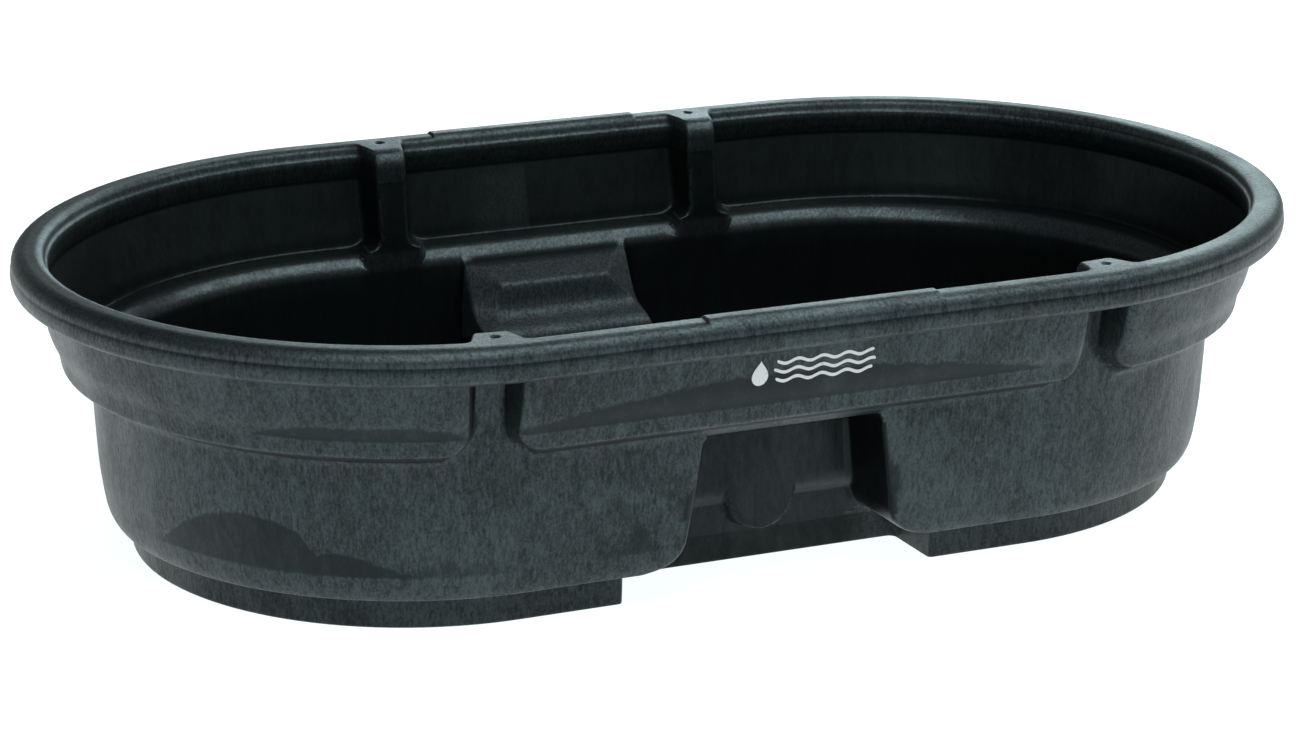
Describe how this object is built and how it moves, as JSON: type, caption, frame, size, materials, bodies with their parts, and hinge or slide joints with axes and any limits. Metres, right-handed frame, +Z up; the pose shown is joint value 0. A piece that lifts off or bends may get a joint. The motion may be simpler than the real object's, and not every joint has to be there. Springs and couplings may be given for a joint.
{
  "type": "livestock water trough",
  "caption": "Low round-ended stock tank with a rolled rim, stepped side panels, a recess in the middle of each long side and a screwed drain plug.",
  "frame": {"origin": "on the ground, under the middle of the tank", "axes": "+X along the tank's length, +Y across it towards the side with the drain, +Z up"},
  "size_m": [1.321, 0.787, 0.305],
  "materials": {
    "shell_foam": "structural foam polyethylene, charcoal, satin with a streaked swirl grain",
    "fitting_plastic": "moulded black polypropylene, fine texture",
    "plug_plastic": "moulded black polypropylene, scuffed on the drive",
    "seal_rubber": "matt black EPDM rubber"
  },
  "bodies": {
    "tank": {"tank_shell": "shell_foam", "fitting_gasket": "seal_rubber", "drain_fitting": "fitting_plastic", "lock_nut": "fitting_plastic"},
    "seal": {"plug_gasket": "seal_rubber"},
    "plug": {"drain_plug": "plug_plastic"}
  },
  "joints": [
    {"name": "plug_travel", "type": "slide", "parent": "tank", "child": "seal", "axis": [0, 1, 0], "range_m": [0, 0.01105]},
    {"name": "plug_turn", "type": "hinge", "parent": "seal", "child": "plug", "pos_m": [0, 0.26, 0.066], "axis": [0, 1, 0], "range_deg": [0, 1800]}
  ],
  "couplings": [
    {"joint": "plug_travel", "follows": "plug_turn", "m_per_rad": 0.00035157}
  ]
}
